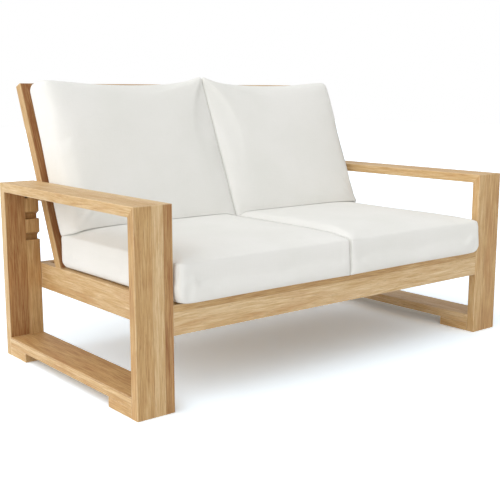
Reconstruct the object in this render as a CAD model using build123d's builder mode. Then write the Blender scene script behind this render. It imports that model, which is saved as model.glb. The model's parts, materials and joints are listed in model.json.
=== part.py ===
from build123d import *
from math import cos, radians, sin, sqrt, tan
import os

# Overall sizes of the two side frames, in millimetres.
overall_width = 1674.0
arm_height = 620.0
frame_depth = 884.0
board_width = 130.0
board_thickness = 32.0
edge_round = 2.5

# Bottom rail and foot blocks of a side frame.
foot_height = 32.0
bottom_rail_thickness = 34.0
front_foot_length = 132.0
rear_foot_length = 118.0

# Sides of the hidden fasteners, which are prisms so that the repeats stay light.
rod_sides = 12
screw_sides = 8

# Dowels across each mitre.
dowel_diameter = 8.0
dowel_length = 28.0
dowel_pitch = 40.0
dowel_count = 3
dowel_gap = 0.1

# Seat frame.
seat_height = 323.0
rail_height = 92.0
rail_thickness = 32.0
rail_inset = 3.0
hinge_rail_depth = 80.0
hinge_rail_height = 58.0
hinge_rail_ahead = 38.0
rabbet_width = 25.0
ledger_width = 25.0
ledger_height = 40.0
stretcher_width = 32.0
slat_width = 72.0
slat_thickness = 18.0
slat_count = 11
slat_end_gap = 1.0

# Connector bolts that hold the seat frame between the legs.
bolt_diameter = 8.0
bolt_in_leg = 60.0
bolt_in_rail = 70.0
bolt_gap = 0.2
bolt_from_edge = 22.0
nut_diameter = 14.0
nut_length = 24.0
nut_from_tip = 12.0

# Back frame.
back_tilt = 22.4
back_length = 692.0
back_thickness = 35.0
stile_width = 60.0
back_rail_height = 72.0
back_slat_width = 62.0
back_slat_thickness = 14.0
back_slat_count = 10
back_tenon = 12.0
tenon_gap = 0.2
stile_tenon = 25.0
stile_tenon_thickness = 14.0
stile_tenon_shoulder = 12.0

# Notches of the rear legs and the support bar that sits in them.
notch_length = 53.0
notch_depth = 22.0
notch_mouth = 27.0
notch_wall = 15.0
notch_sagitta = 1.5
notch_pitch = 75.0
notch_count = 3
notch_below_arm = 1.0
bar_height = 40.0
bar_depth = 38.7
bar_drop = 11.0
bar_shoulder_gap = 0.8
tongue_length = 41.0
tongue_height = 12.0
tongue_round = 5.0

# Hinges at the foot of the back.
hinge_end_margin = 166.7
hinge_count = 3
hinge_width = 70.0
leaf_length = 32.0
leaf_thickness = 2.0
knuckle_radius = 4.0
pin_radius = 2.0
pin_gap = 0.05
pin_ahead = 3.0
pin_rise = 1.0
knuckle_gap = 0.4
pin_head_radius = 3.2
pin_head_height = 1.2
hinge_screw_pitch = 40.0
hinge_screw_reach = 20.0

# Countersunk wood screws.
screw_diameter = 4.0
screw_head_diameter = 8.0
screw_head_height = 2.2
screw_length = 30.0
screw_gap = 0.15

# Seat cushions.
cushion_overhang = 40.0
cushion_back_gap = 1.0
cushion_side_gap = 3.0
cushion_pair_gap = 1.0
soft_gap = 0.4
seat_cushion_sides = 122.0
seat_cushion_crown = 144.0
seat_corner = 20.0
seat_side_pull = 5.0
seat_end_pull = 7.0
seat_floor_inset = 15.0
seat_floor_round = 16.0
seat_belly_inset = 2.0
seat_shoulder_inset = 8.0
seat_shoulder_drop = 16.0
seat_edge_inset = 26.0
seat_crown_inset = 110.0
seat_top_inset = 240.0
seat_crown_drop = 8.0
seat_rear_share = 0.67
seat_rear_lean = 0.16

# Back cushions. Heights run up the back's slope from its foot, and depths run forward from its face.
cushion_above_back = 1.0
back_cushion_foot_height = 124.6
back_cushion_foot_rise = 0.10
back_cushion_depth = 186.0
back_corner = 22.0
back_side_pull = 8.0
back_top_pull = 28.0
back_foot_pull = 2.0
back_depth_shares = (0.0, 0.15, 0.40, 0.75, 0.84, 0.94, 1.0)
back_edge_insets = (34.0, 12.0, 1.0, 3.0, 22.0, 84.0, 170.0)
back_top_insets = (40.0, 22.0, 10.0, 30.0, 52.0, 112.0, 190.0)
back_foot_insets = (8.0, 2.0, 1.0, 4.0, 16.0, 50.0, 120.0)

# Clearances and overruns shared by the cuts.
running_gap = 0.3
overrun = 5.0

# Places worked out from the sizes above. The origin is under the middle of the whole depth.
# The foot is where the front face of the back meets the seat rails, behind the legs' front.
tilt = radians(back_tilt)
arm_under = arm_height - board_thickness
top_notch_height = arm_under - notch_below_arm - notch_mouth
bar_low = top_notch_height - bar_drop
bar_back = frame_depth - board_thickness + notch_depth - running_gap
bar_lean = back_thickness / cos(tilt) + (bar_low - seat_height) * tan(tilt)
back_foot = bar_back - bar_depth - bar_lean
back_reach = back_foot + back_length * sin(tilt) + back_thickness * cos(tilt)
front_y = (cushion_overhang - back_reach) / 2
rear_y = front_y + frame_depth
leg_back_y = front_y + board_thickness
rear_leg_front_y = rear_y - board_thickness
outer_x = overall_width / 2
inner_x = outer_x - board_width
bottom_rail_top = foot_height + bottom_rail_thickness
rail_low = seat_height - rail_height
front_rail_y = front_y + rail_inset
front_rail_back = front_rail_y + rail_thickness
rear_rail_back = rear_y - rail_inset
rear_rail_y = rear_rail_back - rail_thickness
side_rail_inner = inner_x - rail_thickness
foot_y = front_y + back_foot
hinge_rail_y = foot_y - hinge_rail_ahead
hinge_rail_back = hinge_rail_y + hinge_rail_depth
rabbet_y = hinge_rail_y - rabbet_width
hinge_rail_low = seat_height - hinge_rail_height
slat_low = seat_height - slat_thickness
ledger_low = slat_low - ledger_height
ledger_back = front_rail_back + ledger_width
stretcher_top = min(ledger_low, hinge_rail_low)
slat_front = front_rail_back + slat_end_gap
slat_back = hinge_rail_y - slat_end_gap
slat_pitch = 2 * side_rail_inner / slat_count
stile_outer = inner_x - running_gap
stile_inner = stile_outer - stile_width
back_slat_pitch = 2 * stile_inner / back_slat_count
back_slat_setback = (back_thickness - back_slat_thickness) / 2
pin_y = foot_y - pin_ahead
pin_z = seat_height + pin_rise
hinge_spacing = 2 * (stile_inner - hinge_end_margin) / (hinge_count - 1)
hinge_xs = [hinge_spacing * (i - (hinge_count - 1) / 2) for i in range(hinge_count)]
slat_xs = [slat_pitch * (i - (slat_count - 1) / 2) for i in range(slat_count)]
back_slat_xs = [back_slat_pitch * (i - (back_slat_count - 1) / 2) for i in range(back_slat_count)]

# The front face of the back: X across, Y up the slope, Z forward and out of the face.
back_plane = Plane(
    origin=(0, foot_y, seat_height),
    x_dir=(1, 0, 0),
    z_dir=(0, -cos(tilt), sin(tilt)),
)


os.makedirs("parts", exist_ok=True)


def save(piece, name):
    """Label a finished piece and write it."""
    piece.part.label = name
    export_step(piece.part, f"parts/{name}.step")


def save_pair(piece, name):
    """Write a left piece, and its mirror image for the right."""
    save(piece, "left_" + name)
    with BuildPart() as other:
        mirror(piece.part, about=Plane.YZ)
    save(other, "right_" + name)


def slope_point(up, forward):
    """Y and Z of a place given up the back's slope and forward of its face."""
    y = foot_y + up * sin(tilt) - forward * cos(tilt)
    z = seat_height + up * cos(tilt) + forward * sin(tilt)
    return (y, z)


def mitre_plane(front):
    """The plane of a mitre's face at the middle of the left side frame's board."""
    half = board_thickness / 2
    middle_y = front_y + half if front else rear_y - half
    into = 1 if front else -1
    return Plane(
        origin=((-outer_x - inner_x) / 2, middle_y, arm_height - half),
        x_dir=(1, 0, 0),
        z_dir=(0, into, 1),
    )


def drill_mitre(front):
    """Cut the dowel holes of one mitre in the part being built."""
    with BuildSketch(mitre_plane(front)) as holes:
        with GridLocations(dowel_pitch, 0, dowel_count, 1):
            RegularPolygon(dowel_diameter / 2 + dowel_gap, rod_sides)
    extrude(holes.sketch, amount=dowel_length / 2 + dowel_gap, both=True, mode=Mode.SUBTRACT)


def bolt_places(middle_y):
    """Y and Z of the two bolts at a rail's end."""
    return [(middle_y, rail_low + bolt_from_edge), (middle_y, seat_height - bolt_from_edge)]


def drill_bolts(middle_y, start_x, length, radius):
    """Cut a pair of bores along X in the part being built."""
    with BuildSketch(Plane.YZ.offset(start_x)) as holes:
        with Locations(*bolt_places(middle_y)):
            RegularPolygon(radius, rod_sides)
    extrude(holes.sketch, amount=length, mode=Mode.SUBTRACT)


front_bolt_y = front_rail_y + rail_thickness / 2
rear_bolt_y = rear_rail_back - rail_thickness / 2

# Arm board, mitred at both ends.
with BuildPart() as arm:
    with BuildSketch(Plane.YZ.offset(-outer_x)):
        with BuildLine():
            Polyline(
                (front_y, arm_height),
                (rear_y, arm_height),
                (rear_leg_front_y, arm_under),
                (leg_back_y, arm_under),
                close=True,
            )
        make_face()
    extrude(amount=board_width)
    fillet(arm.edges().filter_by(Axis.Y), radius=edge_round)
    drill_mitre(True)
    drill_mitre(False)
save_pair(arm, "arm")

# Front leg, mitred at the top and standing on the floor.
with BuildPart() as front_leg:
    with BuildSketch(Plane.YZ.offset(-outer_x)):
        with BuildLine():
            Polyline(
                (front_y, 0),
                (leg_back_y, 0),
                (leg_back_y, arm_under),
                (front_y, arm_height),
                close=True,
            )
        make_face()
    extrude(amount=board_width)
    fillet(front_leg.edges().filter_by(Axis.Z), radius=edge_round)
    drill_mitre(True)
    drill_bolts(front_bolt_y, -inner_x - bolt_in_leg, bolt_in_leg, bolt_diameter / 2 + bolt_gap)
save_pair(front_leg, "front_leg")

# Rear leg, with its column of notches for the support bar.
with BuildPart() as rear_leg:
    with BuildSketch(Plane.YZ.offset(-outer_x)):
        with BuildLine():
            Polyline(
                (rear_y, 0),
                (rear_leg_front_y, 0),
                (rear_leg_front_y, arm_under),
                (rear_y, arm_height),
                close=True,
            )
        make_face()
    extrude(amount=board_width)
    fillet(rear_leg.edges().filter_by(Axis.Z), radius=edge_round)
    for i in range(notch_count):
        notch_floor = top_notch_height - i * notch_pitch
        mouth_y = rear_leg_front_y - overrun
        deep_y = rear_leg_front_y + notch_depth
        with BuildSketch(Plane.YZ.offset(-inner_x - notch_length)):
            with BuildLine():
                Polyline(
                    (rear_leg_front_y, notch_floor + notch_mouth),
                    (mouth_y, notch_floor + notch_mouth),
                    (mouth_y, notch_floor),
                    (deep_y, notch_floor),
                    (deep_y, notch_floor + notch_wall),
                )
                SagittaArc(
                    (deep_y, notch_floor + notch_wall),
                    (rear_leg_front_y, notch_floor + notch_mouth),
                    -notch_sagitta,
                )
            make_face()
        extrude(amount=notch_length + overrun, mode=Mode.SUBTRACT)
    drill_mitre(False)
    drill_bolts(rear_bolt_y, -inner_x - bolt_in_leg, bolt_in_leg, bolt_diameter / 2 + bolt_gap)
save_pair(rear_leg, "rear_leg")

# Dowels of the four mitres, one group.
with BuildPart() as mitre_dowels:
    for front in (True, False):
        with BuildSketch(mitre_plane(front)) as rounds:
            with GridLocations(dowel_pitch, 0, dowel_count, 1):
                RegularPolygon(dowel_diameter / 2, rod_sides)
        extrude(rounds.sketch, amount=dowel_length / 2, both=True)
    mirror(about=Plane.YZ)
save(mitre_dowels, "mitre_dowels")


def side_board(start_y, end_y, low, high):
    """A board of the left side frame that runs front to back."""
    with BuildPart() as board:
        with BuildSketch(Plane.XZ.offset(-start_y)):
            with BuildLine():
                Polyline((-outer_x, low), (-inner_x, low), (-inner_x, high), (-outer_x, high), close=True)
            make_face()
        extrude(amount=start_y - end_y)
        fillet(board.edges().filter_by(Axis.Y), radius=edge_round)
    return board


save_pair(side_board(leg_back_y, rear_leg_front_y, foot_height, bottom_rail_top), "bottom_rail")
save_pair(side_board(leg_back_y, leg_back_y + front_foot_length, 0, foot_height), "front_foot")
save_pair(side_board(rear_leg_front_y - rear_foot_length, rear_leg_front_y, 0, foot_height), "rear_foot")


def cross_rail(face_y, back_y, bolt_y, nut_side):
    """A seat rail between the legs, bored at its ends for the connector bolts and their barrel nuts."""
    with BuildPart() as rail:
        with BuildSketch(Plane.YZ.offset(-inner_x)):
            with BuildLine():
                Polyline(
                    (face_y, rail_low),
                    (back_y, rail_low),
                    (back_y, seat_height),
                    (face_y, seat_height),
                    close=True,
                )
            make_face()
        extrude(amount=2 * inner_x)
        fillet(rail.edges().filter_by(Axis.X), radius=edge_round)
        bore = bolt_diameter / 2 + bolt_gap
        drill_bolts(bolt_y, -inner_x, bolt_in_rail, bore)
        drill_bolts(bolt_y, inner_x - bolt_in_rail, bolt_in_rail, bore)
        nut_x = inner_x - bolt_in_rail + nut_from_tip
        with BuildSketch(Plane.XZ.offset(-nut_side)) as nut_holes:
            with Locations(*[(x, z) for x in (-nut_x, nut_x) for _, z in bolt_places(bolt_y)]):
                RegularPolygon(nut_diameter / 2 + bolt_gap, rod_sides)
        into = nut_length if nut_side == back_y else -nut_length
        extrude(nut_holes.sketch, amount=into, mode=Mode.SUBTRACT)
    return rail


save(cross_rail(front_rail_y, front_rail_back, front_bolt_y, front_rail_back), "front_rail")
save(cross_rail(rear_rail_y, rear_rail_back, rear_bolt_y, rear_rail_y), "rear_rail")

# Connector bolts: plain rods, half in the leg and half in the rail.
with BuildPart() as connector_bolts:
    for middle_y in (front_bolt_y, rear_bolt_y):
        with BuildSketch(Plane.YZ.offset(-inner_x - bolt_in_leg)) as rods:
            with Locations(*bolt_places(middle_y)):
                RegularPolygon(bolt_diameter / 2, rod_sides)
        extrude(rods.sketch, amount=bolt_in_leg + bolt_in_rail)
    mirror(about=Plane.YZ)
save(connector_bolts, "connector_bolts")

# Barrel nuts, across each bolt near its tip, bored so that the bolt passes.
with BuildPart() as barrel_nuts:
    nut_centre_x = -inner_x + bolt_in_rail - nut_from_tip
    for middle_y, nut_y in ((front_bolt_y, front_rail_back), (rear_bolt_y, rear_rail_y + nut_length)):
        with BuildSketch(Plane.XZ.offset(-nut_y)) as barrels:
            with Locations(*[(nut_centre_x, z) for _, z in bolt_places(middle_y)]):
                RegularPolygon(nut_diameter / 2, rod_sides)
        extrude(barrels.sketch, amount=nut_length)
        drill_bolts(middle_y, -inner_x, bolt_in_rail + overrun, bolt_diameter / 2 + bolt_gap)
    mirror(about=Plane.YZ)
save(barrel_nuts, "barrel_nuts")

# Side rail of the seat, between the front and the rear rail.
with BuildPart() as side_rail:
    with BuildSketch(Plane.XZ.offset(-front_rail_back)):
        with BuildLine():
            Polyline(
                (-inner_x, rail_low),
                (-side_rail_inner, rail_low),
                (-side_rail_inner, seat_height),
                (-inner_x, seat_height),
                close=True,
            )
        make_face()
    extrude(amount=front_rail_back - rear_rail_y)
    fillet(side_rail.edges().filter_by(Axis.Y), radius=edge_round)
save_pair(side_rail, "side_rail")


def screw_plane(y, z):
    """A level plane at the head of a seat slat's screw."""
    return Plane(origin=(0, y, z), x_dir=(1, 0, 0), z_dir=(0, 0, 1))


def countersink(plane, places, gap, length, mode):
    """Screws, or the holes for them, with their heads in a plane and their shanks below it."""
    head = screw_head_diameter / 2 + gap
    shank = screw_diameter / 2 + gap
    with BuildSketch(plane) as tops:
        with Locations(*places):
            RegularPolygon(head, screw_sides)
    with BuildSketch(plane.offset(-screw_head_height)) as necks:
        with Locations(*places):
            RegularPolygon(shank, screw_sides)
    for top, neck in zip(tops.sketch.faces(), necks.sketch.faces()):
        loft([top, neck], mode=mode)
    extrude(necks.sketch, amount=screw_head_height - length, mode=mode)


def cut_knuckle_rooms():
    """Cut the room that each hinge's knuckles and pin heads take, in the part being built."""
    half = hinge_width / 2 + pin_head_height + knuckle_gap
    for x in hinge_xs:
        with BuildSketch(Plane.YZ.offset(x - half)) as room:
            with Locations((pin_y, pin_z)):
                Circle(knuckle_radius + knuckle_gap)
        extrude(room.sketch, amount=2 * half, mode=Mode.SUBTRACT)


ledger_screw_y = front_rail_back + ledger_width / 2
rabbet_screw_y = hinge_rail_y - rabbet_width / 2
slat_screw_places = [(x, 0) for x in slat_xs]

# Ledger on the front rail that carries the slats' front ends.
with BuildPart() as front_ledger:
    with BuildSketch(Plane.YZ.offset(-side_rail_inner)):
        with BuildLine():
            Polyline(
                (front_rail_back, ledger_low),
                (ledger_back, ledger_low),
                (ledger_back, slat_low),
                (front_rail_back, slat_low),
                close=True,
            )
        make_face()
    extrude(amount=2 * side_rail_inner)
    ledger_screws = screw_plane(ledger_screw_y, seat_height)
    countersink(ledger_screws, slat_screw_places, screw_gap, screw_length, Mode.SUBTRACT)
save(front_ledger, "front_ledger")

# Hinge rail: rabbeted for the slats' rear ends and mortised for the hinges' seat leaves.
with BuildPart() as hinge_rail:
    with BuildSketch(Plane.YZ.offset(-side_rail_inner)):
        with BuildLine():
            Polyline(
                (rabbet_y, hinge_rail_low),
                (hinge_rail_back, hinge_rail_low),
                (hinge_rail_back, seat_height),
                (hinge_rail_y, seat_height),
                (hinge_rail_y, slat_low),
                (rabbet_y, slat_low),
                close=True,
            )
        make_face()
    extrude(amount=2 * side_rail_inner)
    with BuildSketch(Plane.XY.offset(seat_height)):
        with Locations(*[(x, pin_y - leaf_length / 2) for x in hinge_xs]):
            Rectangle(hinge_width, leaf_length)
    extrude(amount=-leaf_thickness, mode=Mode.SUBTRACT)
    cut_knuckle_rooms()
    rabbet_screws = screw_plane(rabbet_screw_y, seat_height)
    countersink(rabbet_screws, slat_screw_places, screw_gap, screw_length, Mode.SUBTRACT)
    seat_leaf_screws = [
        (x + side * hinge_screw_pitch / 2, 0) for x in hinge_xs for side in (-1, 1)
    ]
    seat_leaf_plane = screw_plane(pin_y - hinge_screw_reach, seat_height)
    countersink(seat_leaf_plane, seat_leaf_screws, screw_gap, screw_length, Mode.SUBTRACT)
save(hinge_rail, "hinge_rail")

# Centre stretcher, front rail to rear rail, under the ledger and the hinge rail.
with BuildPart() as centre_stretcher:
    with BuildSketch(Plane.XZ.offset(-front_rail_back)):
        with BuildLine():
            Polyline(
                (-stretcher_width / 2, rail_low),
                (stretcher_width / 2, rail_low),
                (stretcher_width / 2, stretcher_top),
                (-stretcher_width / 2, stretcher_top),
                close=True,
            )
        make_face()
    extrude(amount=front_rail_back - rear_rail_y)
save(centre_stretcher, "centre_stretcher")

# Seat slats, front to back, each with a screw hole near either end.
for i, x in enumerate(slat_xs):
    with BuildPart() as seat_slat:
        with BuildSketch(Plane.XZ.offset(-slat_front)):
            with BuildLine():
                Polyline(
                    (x - slat_width / 2, slat_low),
                    (x + slat_width / 2, slat_low),
                    (x + slat_width / 2, seat_height),
                    (x - slat_width / 2, seat_height),
                    close=True,
                )
            make_face()
        extrude(amount=slat_front - slat_back)
        fillet(seat_slat.edges().filter_by(Axis.Y).group_by(Axis.Z)[-1], radius=edge_round)
        for screws in (ledger_screws, rabbet_screws):
            countersink(screws, [(x, 0)], screw_gap, screw_length, Mode.SUBTRACT)
    save(seat_slat, f"seat_slat_{i + 1}")

# Screws of the seat slats, one group.
with BuildPart() as slat_screws:
    for screws in (ledger_screws, rabbet_screws):
        countersink(screws, slat_screw_places, 0, screw_length - screw_gap, Mode.ADD)
save(slat_screws, "slat_screws")


def back_foot_up(forward):
    """How far up the slope the seat's level lies, for a place that far forward of the back's face."""
    return (running_gap - forward * sin(tilt)) / cos(tilt)


# Left stile of the back, square at the top and cut level at the foot.
with BuildPart() as stile:
    with BuildSketch(Plane.YZ.offset(-stile_outer)):
        with BuildLine():
            Polyline(
                slope_point(back_foot_up(0), 0),
                slope_point(back_foot_up(-back_thickness), -back_thickness),
                slope_point(back_length, -back_thickness),
                slope_point(back_length, 0),
                close=True,
            )
        make_face()
    extrude(amount=stile_width)
    long_edges = stile.edges().filter_by(lambda e: abs(e.length - back_length) < back_thickness)
    fillet(long_edges.filter_by(GeomType.LINE), radius=edge_round)
    tenon_middle = -back_thickness / 2
    with BuildSketch(back_plane.offset(tenon_middle)) as tenon_sockets:
        for low, high in ((0, back_rail_height), (back_length - back_rail_height, back_length)):
            bottom = low + stile_tenon_shoulder - tenon_gap
            top = high - stile_tenon_shoulder + tenon_gap
            with Locations((-stile_inner - stile_tenon / 2, (bottom + top) / 2)):
                Rectangle(stile_tenon + 2 * tenon_gap, top - bottom)
    extrude(tenon_sockets.sketch, amount=stile_tenon_thickness / 2 + tenon_gap, both=True, mode=Mode.SUBTRACT)
save_pair(stile, "stile")


def cut_slat_mortises(low, high):
    """Cut the pockets that take the back slats' ends."""
    with BuildSketch(back_plane.offset(-back_thickness / 2)) as pockets:
        with Locations(*[(x, (low + high) / 2) for x in back_slat_xs]):
            Rectangle(back_slat_width + 2 * tenon_gap, high - low)
    extrude(pockets.sketch, amount=back_slat_thickness / 2 + tenon_gap, both=True, mode=Mode.SUBTRACT)


def add_rail_tenons(low, high):
    """Add the stub tenons at both ends of a back rail."""
    with BuildSketch(back_plane.offset(-back_thickness / 2)) as tenons:
        with Locations((0, (low + high) / 2)):
            Rectangle(2 * (stile_inner + stile_tenon), high - low - 2 * stile_tenon_shoulder)
    extrude(tenons.sketch, amount=stile_tenon_thickness / 2, both=True)


# Top rail of the back, between the stiles.
top_rail_low = back_length - back_rail_height
with BuildPart() as back_top_rail:
    with BuildSketch(back_plane):
        with Locations((0, (top_rail_low + back_length) / 2)):
            Rectangle(2 * stile_inner, back_rail_height)
    extrude(amount=-back_thickness)
    fillet(back_top_rail.edges().filter_by(Axis.X), radius=edge_round)
    add_rail_tenons(top_rail_low, back_length)
    cut_slat_mortises(top_rail_low - overrun, top_rail_low + back_tenon + tenon_gap)
save(back_top_rail, "back_top_rail")

# Bottom rail of the back, cut level underneath and mortised for the hinges' back leaves.
with BuildPart() as back_bottom_rail:
    with BuildSketch(Plane.YZ.offset(-stile_inner)):
        with BuildLine():
            Polyline(
                slope_point(back_foot_up(0), 0),
                slope_point(back_foot_up(-back_thickness), -back_thickness),
                slope_point(back_rail_height, -back_thickness),
                slope_point(back_rail_height, 0),
                close=True,
            )
        make_face()
    extrude(amount=2 * stile_inner)
    fillet(back_bottom_rail.edges().filter_by(Axis.X).group_by(Axis.Z)[-1], radius=edge_round)
    add_rail_tenons(0, back_rail_height)
    cut_slat_mortises(back_rail_height - back_tenon - tenon_gap, back_rail_height + overrun)
    with BuildSketch(back_plane) as leaf_pockets:
        with Locations(*[(x, leaf_length / 2) for x in hinge_xs]):
            Rectangle(hinge_width, leaf_length + overrun)
    extrude(leaf_pockets.sketch, amount=-leaf_thickness, mode=Mode.SUBTRACT)
    cut_knuckle_rooms()
    back_leaf_screws = [
        (x + side * hinge_screw_pitch / 2, hinge_screw_reach) for x in hinge_xs for side in (-1, 1)
    ]
    countersink(back_plane, back_leaf_screws, screw_gap, screw_length, Mode.SUBTRACT)
save(back_bottom_rail, "back_bottom_rail")

# Upright slats of the back, seated in the rails' mortises.
for i, x in enumerate(back_slat_xs):
    slat_bottom = back_rail_height - back_tenon
    slat_top = top_rail_low + back_tenon
    slat_length = slat_top - slat_bottom
    with BuildPart() as back_slat:
        with BuildSketch(back_plane.offset(-back_slat_setback)):
            with Locations((x, (slat_bottom + slat_top) / 2)):
                Rectangle(back_slat_width, slat_length)
        extrude(amount=-back_slat_thickness)
        slat_edges = back_slat.edges().filter_by(lambda e: abs(e.length - slat_length) < tenon_gap)
        fillet(slat_edges, radius=edge_round)
    save(back_slat, f"back_slat_{i + 1}")


# Support bar: its front face lies on the stiles' backs, and its tongues sit in the top notches.
def stile_back_y(z):
    """Y of the stiles' rear face at a height."""
    return foot_y + back_thickness / cos(tilt) + (z - seat_height) * tan(tilt)


bar_top = bar_low + bar_height - bar_shoulder_gap - running_gap
tongue_back_y = front_y + bar_back
tongue_low = top_notch_height + running_gap
tongue_top = tongue_low + tongue_height
tongue_front_y = stile_back_y(tongue_top)
with BuildPart() as support_bar:
    with BuildSketch(Plane.YZ):
        with BuildLine():
            Polyline(
                (stile_back_y(bar_low), bar_low),
                (tongue_back_y, bar_low),
                (tongue_back_y, bar_top),
                (stile_back_y(bar_top), bar_top),
                close=True,
            )
        make_face()
    extrude(amount=inner_x - bar_shoulder_gap, both=True)
    rear_edges = support_bar.edges().filter_by(Axis.X).group_by(Axis.Y)[-1]
    fillet(rear_edges, radius=edge_round)
    with BuildSketch(Plane.YZ) as tongue_shape:
        with BuildLine():
            Polyline(
                (tongue_front_y, tongue_top),
                (tongue_front_y, tongue_low),
                (tongue_back_y, tongue_low),
                (tongue_back_y, tongue_top - tongue_round),
            )
            RadiusArc(
                (tongue_back_y, tongue_top - tongue_round),
                (tongue_back_y - tongue_round, tongue_top),
                tongue_round,
            )
            Line((tongue_back_y - tongue_round, tongue_top), (tongue_front_y, tongue_top))
        make_face()
    extrude(tongue_shape.sketch, amount=inner_x + tongue_length, both=True)
save(support_bar, "support_bar")


# Hinges: each has two outer knuckles on its seat leaf and one between them on its back leaf.
knuckle_length = hinge_width / 3


def knuckle_spans(outer):
    """Start and length along X of a hinge's outer knuckles, or of its middle one."""
    if outer:
        length = knuckle_length - knuckle_gap / 2
        return [(-hinge_width / 2, length), (hinge_width / 2 - length, length)]
    return [(-knuckle_length / 2 + knuckle_gap / 2, knuckle_length - knuckle_gap)]


def add_knuckles(outer):
    """Add the knuckles of every hinge and bore them for the pin."""
    for x in hinge_xs:
        for start, length in knuckle_spans(outer):
            with BuildSketch(Plane.YZ.offset(x + start)) as ring:
                with Locations((pin_y, pin_z)):
                    Circle(knuckle_radius)
            extrude(ring.sketch, amount=length)
        with BuildSketch(Plane.YZ.offset(x - hinge_width)) as bore:
            with Locations((pin_y, pin_z)):
                Circle(pin_radius + pin_gap)
        extrude(bore.sketch, amount=2 * hinge_width, mode=Mode.SUBTRACT)


with BuildPart() as hinge_seat_leaves:
    for x in hinge_xs:
        for start, length in knuckle_spans(True):
            middle = x + start + length / 2
            with BuildSketch(Plane.XY.offset(seat_height)) as tab:
                with Locations((middle, pin_y - leaf_length / 4)):
                    Rectangle(length, leaf_length / 2)
            extrude(tab.sketch, amount=-leaf_thickness)
        with BuildSketch(Plane.XY.offset(seat_height)) as leaf:
            with Locations((x, pin_y - (leaf_length + knuckle_radius + knuckle_gap) / 2)):
                Rectangle(hinge_width - running_gap, leaf_length - knuckle_radius - 2 * knuckle_gap)
        extrude(leaf.sketch, amount=-leaf_thickness)
    add_knuckles(True)
    countersink(seat_leaf_plane, seat_leaf_screws, screw_gap, screw_length, Mode.SUBTRACT)
save(hinge_seat_leaves, "hinge_seat_leaves")

leaf_low = knuckle_radius + knuckle_gap
tab_low = back_foot_up(-leaf_thickness)
with BuildPart() as hinge_back_leaves:
    for x in hinge_xs:
        for start, length in knuckle_spans(False):
            with BuildSketch(back_plane) as tab:
                with Locations((x + start + length / 2, (tab_low + leaf_length) / 2)):
                    Rectangle(length, leaf_length - tab_low)
            extrude(tab.sketch, amount=-leaf_thickness)
        with BuildSketch(back_plane) as leaf:
            with Locations((x, (leaf_low + leaf_length) / 2)):
                Rectangle(hinge_width - running_gap, leaf_length - leaf_low)
        extrude(leaf.sketch, amount=-leaf_thickness)
    add_knuckles(False)
    countersink(back_plane, back_leaf_screws, screw_gap, screw_length, Mode.SUBTRACT)
save(hinge_back_leaves, "hinge_back_leaves")

with BuildPart() as hinge_pins:
    for x in hinge_xs:
        with BuildSketch(Plane.YZ.offset(x - hinge_width / 2)) as shaft:
            with Locations((pin_y, pin_z)):
                RegularPolygon(pin_radius, rod_sides)
        extrude(shaft.sketch, amount=hinge_width)
        for side in (-1, 1):
            with BuildSketch(Plane.YZ.offset(x + side * hinge_width / 2)) as head:
                with Locations((pin_y, pin_z)):
                    RegularPolygon(pin_head_radius, rod_sides)
            extrude(head.sketch, amount=side * pin_head_height)
save(hinge_pins, "hinge_pins")

with BuildPart() as hinge_seat_screws:
    countersink(seat_leaf_plane, seat_leaf_screws, 0, screw_length - screw_gap, Mode.ADD)
save(hinge_seat_screws, "hinge_seat_screws")

with BuildPart() as hinge_back_screws:
    countersink(back_plane, back_leaf_screws, 0, screw_length - screw_gap, Mode.ADD)
save(hinge_back_screws, "hinge_back_screws")


def pad_outline(left, right, low, high, corner, side_pull, low_pull, high_pull):
    """A cushion's outline in the sketch being built: drawn-in sides between rounded corners."""
    middle_x = (left + right) / 2
    middle_y = (low + high) / 2
    bend = corner * (1 - 1 / sqrt(2))
    with BuildLine() as outline:
        ThreePointArc((left + corner, low), (middle_x, low + low_pull), (right - corner, low))
        ThreePointArc((right - corner, low), (right - bend, low + bend), (right, low + corner))
        ThreePointArc((right, low + corner), (right - side_pull, middle_y), (right, high - corner))
        ThreePointArc((right, high - corner), (right - bend, high - bend), (right - corner, high))
        ThreePointArc((right - corner, high), (middle_x, high - high_pull), (left + corner, high))
        ThreePointArc((left + corner, high), (left + bend, high - bend), (left, high - corner))
        ThreePointArc((left, high - corner), (left + side_pull, middle_y), (left, low + corner))
        ThreePointArc((left, low + corner), (left + bend, low + bend), (left + corner, low))
    return make_face(outline.edges(), mode=Mode.PRIVATE)


# Seat cushion: a boxed pad with a soft lower edge, a belly at mid-height and a crowned top.
cushion_low = seat_height + soft_gap
cushion_left = -inner_x + cushion_side_gap
cushion_right = -cushion_pair_gap / 2
cushion_front = front_y - cushion_overhang
cushion_rear = foot_y - cushion_back_gap
seat_crown_rise = seat_cushion_crown - seat_cushion_sides
seat_levels = (
    (0, seat_floor_inset),
    (seat_floor_round, seat_belly_inset),
    (seat_cushion_sides / 2, 0),
    (seat_cushion_sides - seat_shoulder_drop, seat_belly_inset),
    (seat_cushion_sides - seat_shoulder_drop / 4, seat_shoulder_inset),
    (seat_cushion_sides + seat_crown_rise / 3, seat_edge_inset + seat_shoulder_inset),
    (seat_cushion_crown - seat_crown_drop, seat_crown_inset),
    (seat_cushion_crown, seat_top_inset),
)
with BuildPart() as seat_cushion:
    for level, inset in seat_levels:
        with BuildSketch(Plane.XY.offset(cushion_low + level)):
            add(
                pad_outline(
                    cushion_left + inset,
                    cushion_right - inset,
                    cushion_front + inset,
                    cushion_rear - inset * seat_rear_share + level * seat_rear_lean,
                    seat_corner,
                    seat_side_pull,
                    seat_end_pull,
                    seat_end_pull,
                )
            )
    loft(ruled=True)
save_pair(seat_cushion, "seat_cushion")

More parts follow.
